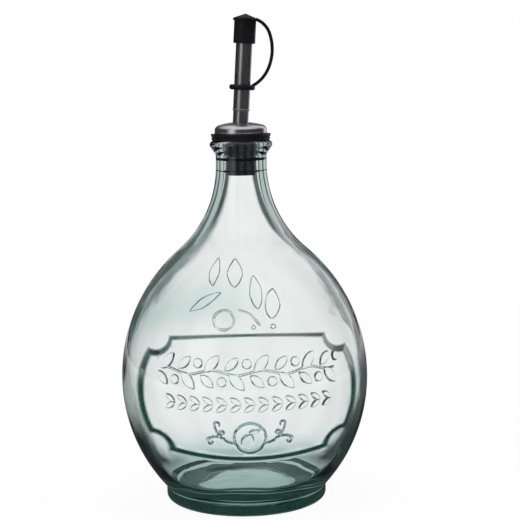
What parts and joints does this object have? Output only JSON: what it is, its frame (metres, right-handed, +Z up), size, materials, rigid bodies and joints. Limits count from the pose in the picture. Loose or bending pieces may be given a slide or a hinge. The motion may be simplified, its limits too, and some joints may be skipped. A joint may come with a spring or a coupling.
{
  "type": "oil cruet",
  "caption": "Round glass oil cruet with a raised cartouche panel, a finned rubber stopper and a capped metal pouring spout.",
  "frame": {"origin": "centre of the foot, in the plane that the cruet stands on", "axes": "+Z up along the bottle's axis, -Y towards the raised panel, +X towards the side the spout leans to"},
  "size_m": [0.135, 0.1372, 0.2647],
  "materials": {
    "bottle_glass": "clear recycled glass with a pale green tint, polished, slightly wavy",
    "stopper_rubber": "black moulded rubber, satin",
    "cap_rubber": "black moulded rubber, satin",
    "collar_metal": "polished stamped steel with fine turning lines",
    "spout_metal": "dark satin steel tube"
  },
  "bodies": {
    "root": {"bottle": "bottle_glass", "stopper": "stopper_rubber", "collar": "collar_metal", "spout": "spout_metal", "cap": "cap_rubber"}
  },
  "joints": []
}
